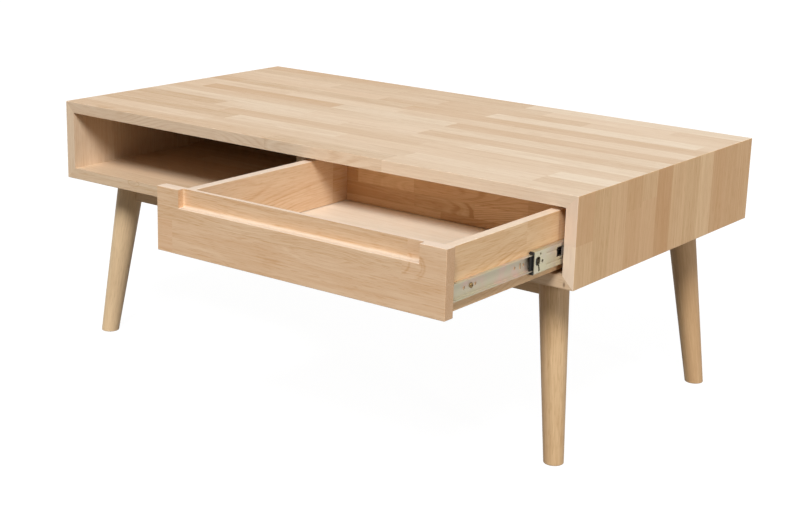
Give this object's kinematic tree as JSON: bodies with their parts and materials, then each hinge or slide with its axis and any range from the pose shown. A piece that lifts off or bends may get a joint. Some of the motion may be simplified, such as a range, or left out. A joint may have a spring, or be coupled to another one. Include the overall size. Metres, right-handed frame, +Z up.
{
  "type": "coffee table",
  "caption": "Low oak coffee table: a mitred case with an open niche beside a drawer on ball-bearing slides, on splayed, tapered round legs joined by long rails.",
  "frame": {"origin": "on the floor, in the middle of the rectangle that the table and its pulled-out drawer cover", "axes": "+X along the front to the right for someone facing the drawer, +Y to the back, +Z up"},
  "size_m": [1.1, 0.903, 0.45],
  "materials": {
    "oak_case": "oiled, matt",
    "oak_inside": "oiled, matt",
    "oak_leg": "oiled, matt",
    "oak_drawer": "oiled, matt",
    "pale_veneer": "matt",
    "beech": "bare",
    "plain_steel": "zinc plated",
    "zinc_steel": "bright zinc plated",
    "ball_steel": "polished",
    "black_plastic": "moulded, matt"
  },
  "bodies": {
    "table": {"top_panel": "oak_case", "bottom_panel": "oak_case", "left_panel": "oak_case", "right_panel": "oak_case", "divider": "oak_inside", "back_panel": "oak_inside", "mitre_tongues": "beech", "divider_dowels": "beech", "back_dowels": "beech", "front_left_leg": "oak_leg", "front_right_leg": "oak_leg", "rear_left_leg": "oak_leg", "rear_right_leg": "oak_leg", "front_rail": "oak_leg", "rear_rail": "oak_leg", "rail_screws": "plain_steel", "leg_bolts": "plain_steel", "leg_inserts": "plain_steel", "left_cabinet_rail": "zinc_steel", "left_cabinet_screws": "zinc_steel", "right_cabinet_rail": "zinc_steel", "right_cabinet_screws": "zinc_steel"},
    "drawer": {"drawer_front": "oak_drawer", "drawer_left_side": "oak_drawer", "drawer_right_side": "oak_drawer", "drawer_back": "oak_inside", "drawer_bottom": "pale_veneer", "drawer_dowels": "beech", "left_drawer_rail": "zinc_steel", "left_drawer_screws": "zinc_steel", "left_release_lever": "black_plastic", "right_drawer_rail": "zinc_steel", "right_drawer_screws": "zinc_steel", "right_release_lever": "black_plastic"},
    "left_middle": {"left_middle_rail": "zinc_steel", "left_front_buffer": "black_plastic"},
    "left_outer_cage_body": {"left_outer_cage": "zinc_steel", "left_outer_balls": "ball_steel"},
    "left_inner_cage_body": {"left_inner_cage": "zinc_steel", "left_inner_balls": "ball_steel"},
    "right_middle": {"right_middle_rail": "zinc_steel", "right_front_buffer": "black_plastic"},
    "right_outer_cage_body": {"right_outer_cage": "zinc_steel", "right_outer_balls": "ball_steel"},
    "right_inner_cage_body": {"right_inner_cage": "zinc_steel", "right_inner_balls": "ball_steel"}
  },
  "joints": [
    {"name": "drawer_slide", "type": "slide", "parent": "table", "child": "drawer", "axis": [0, -1, 0], "range_m": [-0.303, 0.097]},
    {"name": "left_middle_slide", "type": "slide", "parent": "table", "child": "left_middle", "axis": [0, -1, 0], "range_m": [-0.1062, 0.0341]},
    {"name": "left_outer_cage_slide", "type": "slide", "parent": "table", "child": "left_outer_cage_body", "axis": [0, -1, 0], "range_m": [-0.0531, 0.0171]},
    {"name": "left_inner_cage_slide", "type": "slide", "parent": "table", "child": "left_inner_cage_body", "axis": [0, -1, 0], "range_m": [-0.2046, 0.0656]},
    {"name": "right_middle_slide", "type": "slide", "parent": "table", "child": "right_middle", "axis": [0, -1, 0], "range_m": [-0.1062, 0.0341]},
    {"name": "right_outer_cage_slide", "type": "slide", "parent": "table", "child": "right_outer_cage_body", "axis": [0, -1, 0], "range_m": [-0.0531, 0.0171]},
    {"name": "right_inner_cage_slide", "type": "slide", "parent": "table", "child": "right_inner_cage_body", "axis": [0, -1, 0], "range_m": [-0.2046, 0.0656]}
  ],
  "couplings": [
    {"joint": "left_middle_slide", "follows": "drawer_slide", "ratio": 0.35},
    {"joint": "left_outer_cage_slide", "follows": "drawer_slide", "ratio": 0.175},
    {"joint": "left_inner_cage_slide", "follows": "drawer_slide", "ratio": 0.675},
    {"joint": "right_middle_slide", "follows": "drawer_slide", "ratio": 0.35},
    {"joint": "right_outer_cage_slide", "follows": "drawer_slide", "ratio": 0.175},
    {"joint": "right_inner_cage_slide", "follows": "drawer_slide", "ratio": 0.675}
  ]
}
